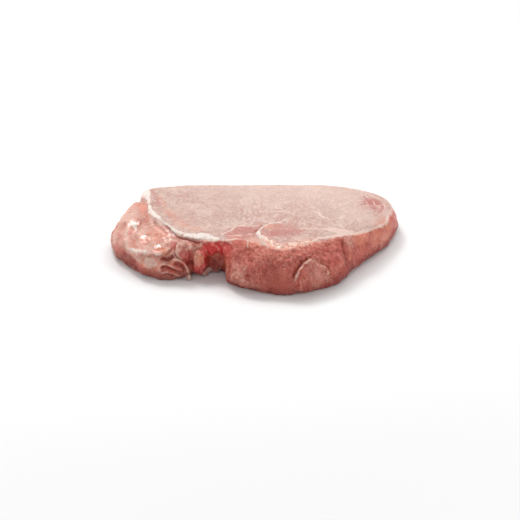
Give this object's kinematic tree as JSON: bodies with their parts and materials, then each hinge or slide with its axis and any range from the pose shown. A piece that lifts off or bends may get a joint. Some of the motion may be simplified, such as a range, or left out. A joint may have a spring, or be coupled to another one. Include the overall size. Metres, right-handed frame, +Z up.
{
  "type": "raw pork chop",
  "caption": "Raw boneless pork chop: one thick, pale pink slice with a round loin eye, a lower tail lobe at one end and a full front wall, lying flat.",
  "frame": {"origin": "under the middle of the bounding box, on the surface the chop lies on", "axes": "+X along the slice from the tail lobe to the sirloin end, +Y from the full front wall to the back edge, +Z up out of the cut face"},
  "size_m": [0.1824, 0.0988, 0.0265],
  "materials": {
    "raw_pork": "moist raw pork: pale pink lean with fine white marbling, redder walls, a cream fat seam and a thin wet sheen"
  },
  "bodies": {
    "root": {"pork_chop": "raw_pork"}
  },
  "joints": []
}
